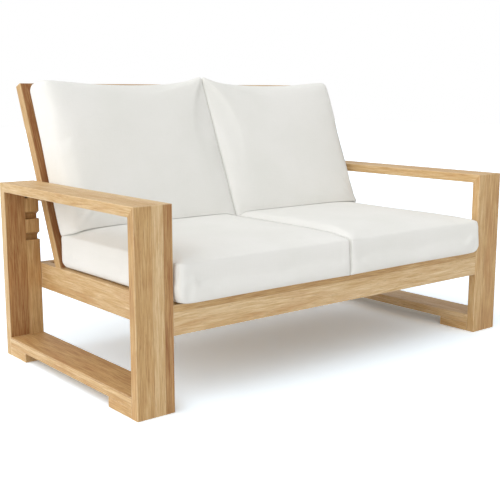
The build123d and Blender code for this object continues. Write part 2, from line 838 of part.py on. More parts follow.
# Back cushion: plump, with its sides and its top drawn in between pointed corners, standing on the seat.
back_cushion_top = back_length + cushion_above_back
back_levels = zip(back_depth_shares, back_edge_insets, back_top_insets, back_foot_insets)
with BuildPart() as back_cushion:
    for share, inset, top_inset, foot_inset in back_levels:
        forward = soft_gap + share * back_cushion_depth
        foot_level = back_cushion_foot_height + back_cushion_foot_rise * forward - forward * sin(tilt)
        with BuildSketch(back_plane.offset(forward)):
            add(
                pad_outline(
                    -inner_x + cushion_side_gap + inset,
                    -cushion_pair_gap / 2 - inset,
                    foot_level / cos(tilt) + foot_inset,
                    back_cushion_top - top_inset,
                    back_corner,
                    back_side_pull,
                    back_foot_pull,
                    back_top_pull,
                )
            )
    loft(ruled=True)
save_pair(back_cushion, "back_cushion")
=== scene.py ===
"""Patio loveseat: wood, steel, stuffed cushions and a studio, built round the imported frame."""

import json
import logging
import math
from dataclasses import dataclass
from enum import Enum

import bmesh
import bpy
from mathutils import Euler, Matrix, Vector
from mathutils.bvhtree import BVHTree

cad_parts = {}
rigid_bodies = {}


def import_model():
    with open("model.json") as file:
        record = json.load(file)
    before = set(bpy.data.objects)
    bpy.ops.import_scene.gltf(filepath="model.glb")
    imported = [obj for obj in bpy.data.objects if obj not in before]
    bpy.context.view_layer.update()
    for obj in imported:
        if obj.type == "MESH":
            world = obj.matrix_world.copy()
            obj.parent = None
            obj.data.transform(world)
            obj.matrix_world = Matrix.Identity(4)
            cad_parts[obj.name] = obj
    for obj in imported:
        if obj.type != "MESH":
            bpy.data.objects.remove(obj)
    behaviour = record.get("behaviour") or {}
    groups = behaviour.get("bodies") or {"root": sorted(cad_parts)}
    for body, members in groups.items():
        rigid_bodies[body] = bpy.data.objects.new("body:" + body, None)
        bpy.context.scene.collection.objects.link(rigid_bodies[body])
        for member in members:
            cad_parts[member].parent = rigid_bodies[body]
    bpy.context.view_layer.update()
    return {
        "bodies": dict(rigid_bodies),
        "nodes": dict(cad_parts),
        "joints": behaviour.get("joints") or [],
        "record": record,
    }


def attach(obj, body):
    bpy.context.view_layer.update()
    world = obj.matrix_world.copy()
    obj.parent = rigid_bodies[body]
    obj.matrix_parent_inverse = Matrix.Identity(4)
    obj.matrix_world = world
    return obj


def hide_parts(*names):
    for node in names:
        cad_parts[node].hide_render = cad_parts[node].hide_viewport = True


Colour = tuple[float, float, float, float]
Triple = tuple[float, float, float]
Pair = tuple[float, float]
Thing = bpy.types.Object
Socket = bpy.types.NodeSocket
Inputs = dict[str | int, object] | tuple[object, ...]

LOG = logging.getLogger("loveseat")
SLOPE = math.radians(22.4)
WHITE: Colour = (1.0, 1.0, 1.0, 1.0)
X_WAY: Triple = (1.0, 0.0, 0.0)
Y_WAY: Triple = (0.0, 1.0, 0.0)
Z_WAY: Triple = (0.0, 0.0, 1.0)
# A Mix node's inputs for its factor and its two colours, and its colour output.
MIX_INPUTS = (0, 6, 7)
MIX_OUTPUT = 2
# The place of a glue line that a board doesn't have, in metres.
NO_SEAM = 9.0
# Share of the way from a flat panel's middle to its edge, beyond which a point is on the rim.
RIM = 0.999


def srgb(red: int, green: int, blue: int) -> Colour:
    """A linear colour from eight-bit display values.

    Args:
        red: Red, 0 to 255.
        green: Green, 0 to 255.
        blue: Blue, 0 to 255.

    Returns:
        The linear colour with an alpha of one.
    """
    linear = []
    for level in (red, green, blue):
        share = level / 255
        linear.append(share / 12.92 if share <= 0.04045 else ((share + 0.055) / 1.055) ** 2.4)
    return (linear[0], linear[1], linear[2], 1.0)


class Side(Enum):
    """Which half of the seat a piece belongs to, as the sign of X."""

    LEFT = -1
    RIGHT = 1


class Grain(Enum):
    """The way a board's grain runs, as the turn that brings it onto X."""

    ACROSS = (0.0, 0.0, 0.0)
    FRONT_TO_BACK = (0.0, 0.0, -math.pi / 2)
    UPRIGHT = (0.0, math.pi / 2, 0.0)
    UP_SLOPE = (SLOPE, math.pi / 2, 0.0)


class Graph:
    """A node tree with short calls that add nodes and join them."""

    def __init__(self, tree: bpy.types.NodeTree) -> None:
        """Take a tree and empty it.

        Args:
            tree: The material's or group's node tree.
        """
        self.tree = tree
        tree.nodes.clear()

    def add(self, kind: str, inputs: Inputs = (), **settings: object) -> bpy.types.Node:
        """Add a node.

        Args:
            kind: The node's type.
            inputs: Output sockets or plain values for its inputs, in order or by name.
            settings: The node's own properties.

        Returns:
            The new node.
        """
        node = self.tree.nodes.new(kind)
        for name, value in settings.items():
            setattr(node, name, value)
        named = inputs if isinstance(inputs, dict) else dict(enumerate(inputs))
        for name, value in named.items():
            if isinstance(value, Socket):
                self.tree.links.new(value, node.inputs[name])
            else:
                node.inputs[name].default_value = value
        return node

    def maths(self, operation: str, *values: object, clamp: bool = False) -> Socket:
        """Add a Math node.

        Args:
            operation: Its operation.
            values: Its inputs in order.
            clamp: Whether the result is kept between 0 and 1.

        Returns:
            The result's socket.
        """
        node = self.add("ShaderNodeMath", values, operation=operation, use_clamp=clamp)
        return node.outputs[0]

    def swing(self, value: object, amount: float, base: object = 0.0) -> Socket:
        """Let a value from 0 to 1 swing a base up and down.

        Args:
            value: The value, which leaves the base as it is at a half.
            amount: How much the whole swing is.
            base: What it is added to.

        Returns:
            The result's socket.
        """
        return self.maths("MULTIPLY_ADD", self.maths("SUBTRACT", value, 0.5), amount, base)

    def vectors(self, operation: str, *values: object) -> Socket:
        """Add a Vector Math node.

        Args:
            operation: Its operation.
            values: Its inputs in order.

        Returns:
            The socket of the result, a number for a dot product and else a vector.
        """
        node = self.add("ShaderNodeVectorMath", values, operation=operation)
        return node.outputs["Value" if operation == "DOT_PRODUCT" else "Vector"]

    def noise(self, place: object, scales: Triple, detail: float, roughness: float = 0.5) -> Socket:
        """Add a Noise Texture and give its factor.

        Args:
            place: The place it reads.
            scales: Its scales along X, Y and Z.
            detail: Its octaves.
            roughness: How strong the finer octaves are.

        Returns:
            The factor's socket.
        """
        place = self.vectors("MULTIPLY", place, scales)
        inputs = {"Vector": place, "Scale": 1.0, "Detail": detail, "Roughness": roughness}
        return self.add("ShaderNodeTexNoise", inputs).outputs["Fac"]

    def spread(self, value: object, span: Pair, onto: Pair = (0.0, 1.0)) -> Socket:
        """Map a range onto another and keep within it.

        Args:
            value: The value to map.
            span: Start and end of its range.
            onto: What the start and the end become.

        Returns:
            The result's socket.
        """
        return self.add("ShaderNodeMapRange", (value, *span, *onto)).outputs["Result"]

    def ramp(self, factor: object, stops: list[tuple[float, Colour]]) -> Socket:
        """Add a Color Ramp.

        Args:
            factor: Where on the ramp.
            stops: Places and their colours, in order.

        Returns:
            The colour's socket.
        """
        node = self.add("ShaderNodeValToRGB", {"Fac": factor})
        elements = node.color_ramp.elements
        while len(elements) < len(stops):
            elements.new(1.0)
        for element, (place, colour) in zip(elements, stops):
            element.position = place
            element.color = colour
        return node.outputs["Color"]

    def mix(self, factor: object, first: object, second: object) -> Socket:
        """Mix two colours.

        Args:
            factor: How much of the second.
            first: The colour at 0.
            second: The colour at 1.

        Returns:
            The colour's socket.
        """
        inputs = dict(zip(MIX_INPUTS, (factor, first, second)))
        return self.add("ShaderNodeMix", inputs, data_type="RGBA").outputs[MIX_OUTPUT]

    def surface(self, inputs: Inputs) -> None:
        """Add a Principled BSDF and make it the material's surface.

        Args:
            inputs: Values or sockets for its inputs.
        """
        shader = self.add("ShaderNodeBsdfPrincipled", inputs).outputs["BSDF"]
        self.add("ShaderNodeOutputMaterial", {"Surface": shader})


def new_group(
    name: str, vectors: tuple[str, ...], numbers: tuple[str, ...], results: tuple[str, ...]
) -> Graph:
    """Make an empty shader node group with its sockets.

    Args:
        name: The group's name.
        vectors: Names of the inputs that are vectors.
        numbers: Names of the inputs that are numbers.
        results: Names of the outputs, which are numbers.

    Returns:
        A graph to fill the group with.
    """
    tree = bpy.data.node_groups.new(name, "ShaderNodeTree")
    for labels, way, kind in (
        (vectors, "INPUT", "NodeSocketVector"),
        (numbers, "INPUT", "NodeSocketFloat"),
        (results, "OUTPUT", "NodeSocketFloat"),
    ):
        for label in labels:
            tree.interface.new_socket(label, in_out=way, socket_type=kind)
    return Graph(tree)


def new_material(name: str) -> tuple[bpy.types.Material, Graph]:
    """Make an empty material.

    Args:
        name: Its name.

    Returns:
        The material, and a graph to fill it with.
    """
    material = bpy.data.materials.new(name)
    material.use_nodes = True
    return material, Graph(material.node_tree)


def wear(thing: Thing, material: bpy.types.Material) -> None:
    """Put one material in all of a thing's slots.

    Args:
        thing: The object.
        material: The material.
    """
    if not thing.material_slots:
        thing.data.materials.append(material)
    for slot in thing.material_slots:
        slot.material = material


def put(name: str, data: bpy.types.ID) -> Thing:
    """Add an object to the scene.

    Args:
        name: Its name.
        data: Its mesh, lamp or camera.

    Returns:
        The object.
    """
    thing = bpy.data.objects.new(name, data)
    bpy.context.scene.collection.objects.link(thing)
    return thing


@dataclass(frozen=True)
class GrainPattern:
    """Scales of the grain's patterns along and across it, and how much each one shows."""

    bend: Triple = (2.2, 5.0, 5.0)
    streak: Triple = (12.0, 310.0, 310.0)
    ring: Triple = (1.6, 21.0, 21.0)
    broad: Triple = (2.0, 9.0, 9.0)
    patch: Triple = (6.0, 34.0, 34.0)
    fleck: Triple = (38.0, 950.0, 950.0)
    sway: float = 0.02
    ring_count: float = 7.0
    strip_shift: float = 3.71
    streak_share: float = 1.15
    ring_share: float = 0.13
    broad_share: float = 0.30
    patch_range: Pair = (0.5, 0.72)
    fleck_range: Pair = (0.60, 0.72)
    seam_width: float = 0.0006
    pore_depth: float = 0.7
    streak_height: float = 0.5
    seam_depth: float = 0.5


@dataclass(frozen=True)
class WeavePattern:
    """Scales of a plain weave's unevenness, and how high its yarns stand."""

    wander: Triple = (35.0, 35.0, 35.0)
    drift: float = 0.004
    slub_x: Triple = (900.0, 22.0, 1.0)
    slub_y: Triple = (22.0, 900.0, 1.0)
    slub_range: Pair = (0.7, 1.3)
    crossing_height: float = 0.3
    slub_height: float = 0.6


@dataclass
class SharedEffects:
    """The shader node groups that several finishes use."""

    grain_pattern: GrainPattern = GrainPattern()
    weave_pattern: WeavePattern = WeavePattern()
    # Patches of the painted highlight on the eased edges.
    highlight_patch_scales: Triple = (60.0, 60.0, 60.0)
    highlight_patch_range: Pair = (0.3, 0.6)
    highlight_patch_share: Pair = (0.35, 1.0)

    def __post_init__(self) -> None:
        """Build every group once."""
        self.edges = self.build_edges()
        self.grain = self.build_grain()
        self.weave = self.build_weave()

    def build_edges(self) -> bpy.types.NodeTree:
        """A mask that is 1 on a board's eased edges, where a highlight is painted, broken into
        patches by noise.

        Returns:
            The group: Vector is centred on the board, and Half Size is half its box.
        """
        graph = new_group("eased_edges", ("Vector", "Half Size"), ("Width",), ("Mask",))
        source = graph.add("NodeGroupInput").outputs
        away = graph.vectors("ABSOLUTE", source["Vector"])
        inward = graph.vectors("SUBTRACT", source["Half Size"], away)
        gaps = graph.add("ShaderNodeSeparateXYZ", {"Vector": inward}).outputs
        nearer = graph.maths("MINIMUM", gaps["X"], gaps["Y"])
        farther = graph.maths("MAXIMUM", gaps["X"], gaps["Y"])
        second = graph.maths("MAXIMUM", nearer, graph.maths("MINIMUM", farther, gaps["Z"]))
        away = graph.maths("DIVIDE", second, source["Width"])
        closeness = graph.maths("SUBTRACT", 1.0, away, clamp=True)
        # Noise breaks the painted edge highlight into patches.
        highlight_patches = graph.noise(source["Vector"], self.highlight_patch_scales, 3.0)
        highlight_patches = graph.spread(highlight_patches, self.highlight_patch_range, self.highlight_patch_share)
        mask = graph.maths("MULTIPLY", closeness, highlight_patches, clamp=True)
        graph.add("NodeGroupOutput", {"Mask": mask})
        return graph.tree

    def build_grain(self) -> bpy.types.NodeTree:
        """Long grain, growth rings and pores of a glued-up board, with its grain along X.

        Returns:
            The group: Tone runs from dark wood at 0 to light wood at 1.
        """
        pattern = self.grain_pattern
        numbers = ("Seam A", "Seam B", "Tone A", "Tone B", "Tone C", "Seed")
        outputs = ("Tone", "Blush", "Pores", "Seams", "Height")
        graph = new_group("board_grain", ("Vector", "Seam Way"), numbers, outputs)
        source = graph.add("NodeGroupInput").outputs
        across = graph.vectors("DOT_PRODUCT", source["Vector"], source["Seam Way"])
        past_a = graph.maths("GREATER_THAN", across, source["Seam A"])
        past_b = graph.maths("GREATER_THAN", across, source["Seam B"])
        step_b = graph.maths("SUBTRACT", source["Tone B"], source["Tone A"])
        step_c = graph.maths("SUBTRACT", source["Tone C"], source["Tone B"])
        laid = graph.maths("MULTIPLY_ADD", past_a, step_b, source["Tone A"])
        laid = graph.maths("MULTIPLY_ADD", past_b, step_c, laid)
        strip = graph.maths("ADD", past_a, past_b)
        shift = graph.maths("MULTIPLY_ADD", strip, pattern.strip_shift, source["Seed"])
        offset = graph.add("ShaderNodeCombineXYZ", (shift, shift, shift)).outputs[0]
        place = graph.vectors("ADD", source["Vector"], offset)
        sway = graph.swing(graph.noise(place, pattern.bend, 2.0), pattern.sway)
        offset = graph.add("ShaderNodeCombineXYZ", (0.0, sway, sway)).outputs[0]
        swayed = graph.vectors("ADD", place, offset)
        streak = graph.noise(swayed, pattern.streak, 5.0, 0.6)
        ring = graph.noise(swayed, pattern.ring, 1.5, 0.4)
        ring = graph.maths("PINGPONG", graph.maths("MULTIPLY", ring, pattern.ring_count), 0.5)
        tone = graph.swing(streak, pattern.streak_share, 0.5)
        tone = graph.swing(graph.spread(ring, (0.0, 0.5)), pattern.ring_share, tone)
        broad = graph.noise(place, pattern.broad, 2.0)
        tone = graph.swing(broad, pattern.broad_share, tone)
        tone = graph.maths("ADD", tone, laid, clamp=True)
        blush = graph.spread(graph.noise(swayed, pattern.patch, 3.0), pattern.patch_range)
        pores = graph.spread(graph.noise(swayed, pattern.fleck, 2.0), pattern.fleck_range)
        to_a, to_b = (
            graph.maths("ABSOLUTE", graph.maths("SUBTRACT", across, source[seam]))
            for seam in ("Seam A", "Seam B")
        )
        nearest = graph.maths("MINIMUM", to_a, to_b)
        seams = graph.spread(nearest, (0.0, pattern.seam_width), (1.0, 0.0))
        height = graph.maths("MULTIPLY", streak, pattern.streak_height)
        height = graph.maths("MULTIPLY_ADD", pores, -pattern.pore_depth, height)
        height = graph.maths("MULTIPLY_ADD", seams, -pattern.seam_depth, height)
        graph.add("NodeGroupOutput", (tone, blush, pores, seams, height))
        return graph.tree

    def build_weave(self) -> bpy.types.NodeTree:
        """A plain weave of slubbed yarn on a piece's own UV map.

        Returns:
            The group: Vector is in metres of cloth, and Pitch is the distance between yarns.
        """
        pattern = self.weave_pattern
        graph = new_group("plain_weave", ("Vector",), ("Pitch",), ("Height", "Shade"))
        source = graph.add("NodeGroupInput").outputs
        flat = source["Vector"]
        drift = graph.swing(graph.noise(flat, pattern.wander, 2.0), pattern.drift)
        offset = graph.add("ShaderNodeCombineXYZ", (drift, drift, 0.0)).outputs[0]
        drifted = graph.vectors("ADD", flat, offset)
        count = graph.maths("DIVIDE", math.pi, source["Pitch"])
        ways = graph.add("ShaderNodeSeparateXYZ", {"Vector": drifted}).outputs
        warp, weft = (
            graph.maths("SINE", graph.maths("MULTIPLY", ways[way], count)) for way in "XY"
        )
        over = graph.maths("MULTIPLY", warp, weft)
        yarn = graph.maths("MAXIMUM", graph.maths("ABSOLUTE", warp), graph.maths("ABSOLUTE", weft))
        slub_x = graph.noise(flat, pattern.slub_x, 2.0)
        slub_y = graph.noise(flat, pattern.slub_y, 2.0)
        slub = graph.maths("ADD", slub_x, slub_y)
        height = graph.maths("MULTIPLY_ADD", slub, pattern.slub_height, yarn)
        height = graph.maths("MULTIPLY_ADD", over, pattern.crossing_height, height)
        shade = graph.spread(slub, pattern.slub_range)
        graph.add("NodeGroupOutput", {"Height": height, "Shade": shade})
        return graph.tree


@dataclass(frozen=True)
class Board:
    """A wooden node, the way of its grain and the strips that it is glued up from.

    Up to two glue lines lie at places along seam_way. The tones lighten or darken the strips; on
    the stiles, the rear legs and the left bottom rail a darker strip is partly painted shade.
    """

    node: str
    grain: Grain
    seam_way: Triple = X_WAY
    seams: tuple[float, ...] = ()
    tones: tuple[float, ...] = ()

    def seed(self) -> float:
        """A number of its own for the board's grain.

        Returns:
            A number that only depends on the node's name.
        """
        letters = sum(ord(letter) * (place + 3) for place, letter in enumerate(self.node))
        return (letters % 977) / 41.0


@dataclass(frozen=True)
class WoodFinish:
    """Sanded, lightly oiled hardwood."""

    name: str
    dark: Colour
    middle: Colour
    light: Colour
    pore: Colour
    # Colour of the painted highlight on the eased edges.
    edge: Colour
    blush: Colour
    middle_place: float = 0.48
    blush_share: float = 0.34
    pore_share: float = 0.45
    seam_share: float = 0.55
    edge_highlight_share: float = 0.5
    edge_width: float = 0.0035
    roughness: Pair = (0.62, 0.50)

    def dress(self, board: Board, thing: Thing, effects: SharedEffects) -> None:
        """Give a board its own material.

        Args:
            board: The board's grain and strips.
            thing: The CAD node.
            effects: The shared node groups.
        """
        turn = Euler(board.grain.value).to_matrix()
        places = [turn @ vertex.co for vertex in thing.data.vertices]
        low = Vector(min(place[axis] for place in places) for axis in range(3))
        high = Vector(max(place[axis] for place in places) for axis in range(3))
        centre = (low + high) / 2
        way = Vector(board.seam_way)
        middle = way.dot(turn.transposed() @ centre)
        seam_a, seam_b = (*board.seams, NO_SEAM, NO_SEAM)[:2]
        tone_a, tone_b, tone_c = (*board.tones, 0.0, 0.0, 0.0)[:3]
        material, graph = new_material(f"{self.name}_{board.node}")
        where = graph.add("ShaderNodeTexCoord").outputs["Object"]
        placing = {"Vector": where, "Location": -centre, "Rotation": Euler(board.grain.value)}
        mapped = graph.add("ShaderNodeMapping", placing).outputs["Vector"]
        strips = {
            "Vector": mapped,
            "Seam Way": turn @ way,
            "Seam A": seam_a - middle,
            "Seam B": seam_b - middle,
            "Tone A": tone_a,
            "Tone B": tone_b,
            "Tone C": tone_c,
            "Seed": board.seed(),
        }
        grain = graph.add("ShaderNodeGroup", strips, node_tree=effects.grain).outputs
        box = {"Vector": mapped, "Half Size": (high - low) / 2, "Width": self.edge_width}
        edges = graph.add("ShaderNodeGroup", box, node_tree=effects.edges).outputs
        stops = [(0.0, self.dark), (self.middle_place, self.middle), (1.0, self.light)]
        colour = graph.ramp(grain["Tone"], stops)
        # The last mix paints a highlight on the eased edges.
        for mask, share, tint in (
            (grain["Blush"], self.blush_share, self.blush),
            (grain["Pores"], self.pore_share, self.pore),
            (grain["Seams"], self.seam_share, self.pore),
            (edges["Mask"], self.edge_highlight_share, self.edge),
        ):
            colour = graph.mix(graph.maths("MULTIPLY", mask, share), colour, tint)
        rough = graph.spread(grain["Tone"], (0.0, 1.0), self.roughness)
        bump = graph.add("ShaderNodeBump", {"Height": grain["Height"], "Distance": 0.00012})
        look = {"Base Color": colour, "Roughness": rough, "Normal": bump.outputs["Normal"]}
        graph.surface({**look, "Specular IOR Level": 0.4})
        wear(thing, material)


@dataclass(frozen=True)
class SteelFinish:
    """Brushed stainless steel with faint scratches along the brushing."""

    name: str = "brushed_stainless"
    colour: Colour = srgb(188, 188, 184)
    dull: Colour = srgb(142, 141, 137)
    brush: Triple = (40.0, 1800.0, 1800.0)
    brush_range: Pair = (0.3, 0.7)
    roughness: Pair = (0.28, 0.46)
    stain: Triple = (45.0, 45.0, 45.0)
    stain_range: Pair = (0.4, 0.75)

    def make(self) -> bpy.types.Material:
        """Build the material.

        Returns:
            The material.
        """
        material, graph = new_material(self.name)
        where = graph.add("ShaderNodeTexCoord").outputs["Object"]
        brushed = graph.noise(where, self.brush, 3.0)
        stained = graph.spread(graph.noise(where, self.stain, 3.0), self.stain_range)
        bump = graph.add("ShaderNodeBump", {"Height": brushed, "Distance": 0.00002})
        look = {
            "Base Color": graph.mix(stained, self.colour, self.dull),
            "Metallic": 1.0,
            "Roughness": graph.spread(brushed, self.brush_range, self.roughness),
            "Normal": bump.outputs["Normal"],
        }
        graph.surface(look)
        return material


@dataclass(frozen=True)
class ClothFinish:
    """Off-white woven outdoor cloth."""

    name: str = "woven_cushion_cloth"
    colour: Colour = srgb(243, 242, 238)
    shade: Colour = srgb(235, 235, 229)
    pitch: float = 0.0011
    broad: Triple = (5.0, 5.0, 5.0)
    broad_range: Pair = (0.35, 0.7)
    crease: Triple = (9.0, 9.0, 14.0)

    def make(self, effects: SharedEffects) -> bpy.types.Material:
        """Build the material.

        Args:
            effects: The shared node groups.

        Returns:
            The material, which reads the piece's UV map in metres.
        """
        material, graph = new_material(self.name)
        flat = graph.add("ShaderNodeUVMap", uv_map="cloth").outputs["UV"]
        yarns = {"Vector": flat, "Pitch": self.pitch}
        weave = graph.add("ShaderNodeGroup", yarns, node_tree=effects.weave).outputs
        where = graph.add("ShaderNodeTexCoord").outputs["Object"]
        broad = graph.spread(graph.noise(where, self.broad, 3.0), self.broad_range)
        shaded = graph.maths("MULTIPLY", graph.maths("ADD", weave["Shade"], broad), 0.5)
        crease = graph.noise(where, self.crease, 4.0, 0.55)
        creases = {"Height": crease, "Distance": 0.004, "Strength": 0.35}
        soft = graph.add("ShaderNodeBump", creases).outputs["Normal"]
        threads = {"Height": weave["Height"], "Distance": 0.00025, "Normal": soft}
        look = {
            "Base Color": graph.mix(shaded, self.colour, self.shade),
            "Roughness": 0.92,
            "Specular IOR Level": 0.25,
            "Sheen Weight": 0.15,
            "Sheen Roughness": 0.5,
            "Normal": graph.add("ShaderNodeBump", threads).outputs["Normal"],
        }
        graph.surface(look)
        return material


@dataclass
class Joinery:
    """Every wooden node of the side frames, the seat frame and the back."""

    notch_seam: float = 0.7605
    # Rear legs: from this line by the outer side face to the notch seam, the front face is darker,
    # partly darker wood and partly painted shade under the arm.
    leg_side: float = 0.833
    front_rail_seam: float = 0.301
    # Stiles: inward of this line the front face is darker, partly darker wood and partly painted
    # shade beside the back cushion.
    stile_shade_line: float = 0.702
    teak: WoodFinish = WoodFinish(
        name="teak",
        dark=srgb(142, 91, 50),
        middle=srgb(196, 159, 106),
        light=srgb(232, 208, 168),
        pore=srgb(124, 84, 46),
        edge=srgb(234, 211, 173),
        blush=srgb(182, 130, 80),
    )
    dowel: WoodFinish = WoodFinish(
        name="dowel",
        dark=srgb(176, 138, 92),
        middle=srgb(214, 180, 134),
        light=srgb(232, 205, 165),
        pore=srgb(150, 112, 72),
        edge=srgb(238, 215, 180),
        blush=srgb(206, 166, 124),
    )

    def boards(self, nodes: list[str]) -> list[Board]:
        """List the boards with their grain and strips.

        Args:
            nodes: Every CAD node's name.

        Returns:
            One board for each wooden node.
        """
        upright, lengthways = Grain.UPRIGHT, Grain.FRONT_TO_BACK
        across, up_slope = Grain.ACROSS, Grain.UP_SLOPE
        left_rear_leg_shade_seams = (-self.leg_side, -self.notch_seam)
        right_rear_leg_shade_seams = (self.notch_seam, self.leg_side)
        found = [
            Board("left_front_leg", upright, X_WAY, (-0.7776, -0.7389), (-0.06, 0.12, -0.24)),
            Board("right_front_leg", upright, X_WAY, (0.754,), (0.06, -0.10)),
            # The rear legs' darker middle strip is partly darker wood and partly painted shade on
            # the front face under the arm.
            Board("left_rear_leg", upright, X_WAY, left_rear_leg_shade_seams, (0.10, -0.30, -0.06)),
            Board("right_rear_leg", upright, X_WAY, right_rear_leg_shade_seams, (0.0, -0.20, 0.10)),
            Board("left_arm", lengthways, X_WAY, (-0.748,), (0.08, 0.14)),
            Board("right_arm", lengthways, X_WAY, (0.758,), (0.06, -0.02)),
            # The left bottom rail's darker top strip is partly darker wood and partly painted shade
            # on its top face.
            Board("left_bottom_rail", lengthways, Z_WAY, (0.048, 0.062), (0.0, 0.10, -0.12)),
            Board("right_bottom_rail", lengthways, Z_WAY, (0.048,), (0.14, 0.14)),
            Board("front_rail", across, Z_WAY, (self.front_rail_seam,), (0.20, -0.06)),
            Board("rear_rail", across, Z_WAY, (self.front_rail_seam,), (0.02, -0.06)),
            # The stiles' darker strip is partly darker wood and partly painted shade on the front
            # face beside the back cushion.
            Board("left_stile", up_slope, X_WAY, (-self.stile_shade_line,), (-0.06, -0.44)),
            Board("right_stile", up_slope, X_WAY, (self.stile_shade_line,), (-0.44, -0.06)),
            Board("back_top_rail", across, Y_WAY),
            Board("back_bottom_rail", across, Y_WAY),
            Board("centre_stretcher", lengthways),
        ]
        for name in ("support_bar", "front_ledger", "hinge_rail"):
            found.append(Board(name, across, Z_WAY))
        for side in ("left", "right"):
            found.append(Board(f"{side}_front_foot", lengthways, tones=(-0.04,)))
            found.append(Board(f"{side}_rear_foot", lengthways, tones=(0.04,)))
            found.append(Board(f"{side}_side_rail", lengthways, Z_WAY, (0.262,), (0.04, 0.12)))
        for name in nodes:
            tone = ((len(name) * 7 + ord(name[-1]) * 5) % 9 - 4) * 0.04
            for start, grain in (("seat_slat", lengthways), ("back_slat", up_slope)):
                if name.startswith(start):
                    found.append(Board(name, grain, tones=(tone,)))
        return found

    def finish(self, nodes: dict[str, Thing], effects: SharedEffects) -> None:
        """Dress every wooden node.

        Args:
            nodes: The CAD nodes by name.
            effects: The shared node groups.
        """
        for board in self.boards(sorted(nodes)):
            self.teak.dress(board, nodes[board.node], effects)
            LOG.info("%s: %s, grain %s", board.node, self.teak.name, board.grain.name.lower())
        self.dowel.dress(Board("mitre_dowels", Grain.FRONT_TO_BACK), nodes["mitre_dowels"], effects)
        LOG.info("mitre_dowels: %s", self.dowel.name)


@dataclass
class Hardware:
    """Bolts, barrel nuts, screws and hinges."""

    pieces: tuple[str, ...] = (
        "connector_bolts",
        "barrel_nuts",
        "slat_screws",
        "hinge_seat_leaves",
        "hinge_back_leaves",
        "hinge_pins",
        "hinge_seat_screws",
        "hinge_back_screws",
    )
    steel: SteelFinish = SteelFinish()

    def finish(self, nodes: dict[str, Thing]) -> None:
        """Dress every steel node.

        Args:
            nodes: The CAD nodes by name.
        """
        material = self.steel.make()
        for name in self.pieces:
            wear(nodes[name], material)
            LOG.info("%s: %s", name, self.steel.name)


def soft_limit(share: float, power: float, root: float) -> float:
    """A dome's height over its edge: 0 at the edge and 1 in the middle.

    Args:
        share: Distance from the middle, as a share of the half width.
        power: How flat the middle is.
        root: How steep the edge is.

    Returns:
        The height as a share.
    """
    return max(0.0, 1.0 - abs(share) ** power) ** root


def lesser(first: float, second: float) -> float:
    """The lesser of two heights, with a soft change from one to the other.

    Args:
        first: A height, 0 or more.
        second: Another.

    Returns:
        A height just under the lesser.
    """
    if min(first, second) < 0.0001:
        return 0.0
    return (first**-4 + second**-4) ** -0.25


def round_corner(x: float, y: float, half: Pair, radius: float) -> Pair:
    """Bring a point of a rectangle into its rounded corner.

    Args:
        x: Place across, from the middle.
        y: Place along, from the middle.
        half: Half the width and half the length.
        radius: The corner's radius.

    Returns:
        The new place.
    """
    past_x = abs(x) - half[0] + radius
    past_y = abs(y) - half[1] + radius
    if past_x > 0 and past_y > 0:
        share = max(past_x, past_y) / math.hypot(past_x, past_y)
        x = math.copysign(half[0] - radius + past_x * share, x)
        y = math.copysign(half[1] - radius + past_y * share, y)
    return x, y


def crowded(share: float, length: float, count: int, crowd: float) -> float:
    """Bring the rows next to a seam closer to it.

    Args:
        share: Place across the panel, -1 to 1.
        length: The panel's whole length.
        count: Its number of cells.
        crowd: How far the row next to the seam moves.

    Returns:
        The new place, -1 to 1.
    """
    cell = length / count
    gap = (1.0 - abs(share)) * length / 2
    if gap < cell / 4 or abs(share) < cell / length:
        return share
    near = max(gap - crowd * math.exp(1.0 - gap / cell), cell / 4)
    return math.copysign(1.0 - 2 * near / length, share)


@dataclass(frozen=True)
class Stuffing:
    """How a cover is blown up by its filling."""

    seam_shrink: float
    pressure: float = 1.6
    cap: float = 0.007
    frames: int = 20
    stiffness: float = 12.0
    bending: float = 0.6

    def fill(self, pad: Thing) -> None:
        """Blow a cover up with cloth simulation and keep the result in its mesh.

        Args:
            pad: The cover, with the vertex groups held and seams.
        """
        cloth = pad.modifiers.new("filling", "CLOTH")
        settings = cloth.settings
        settings.quality = 6
        settings.mass = 0.35
        settings.tension_stiffness = self.stiffness
        settings.compression_stiffness = self.stiffness
        settings.shear_stiffness = self.stiffness / 2
        settings.bending_stiffness = self.bending
        settings.use_pressure = True
        settings.uniform_pressure_force = self.pressure
        settings.effector_weights.gravity = 0.0
        settings.vertex_group_mass = "held"
        settings.vertex_group_shrink = "seams"
        settings.shrink_min = 0.0
        settings.shrink_max = self.seam_shrink
        cloth.point_cache.frame_start = 1
        cloth.point_cache.frame_end = self.frames
        scene = bpy.context.scene
        for frame in range(1, self.frames + 1):
            scene.frame_set(frame)
        graph = bpy.context.evaluated_depsgraph_get()
        blown = [vertex.co.copy() for vertex in pad.evaluated_get(graph).data.vertices]
        pad.modifiers.remove(cloth)
        scene.frame_set(1)
        for vertex, place in zip(pad.data.vertices, blown):
            move = place - vertex.co
            if move.length > self.cap:
                move *= self.cap / move.length
            vertex.co += move


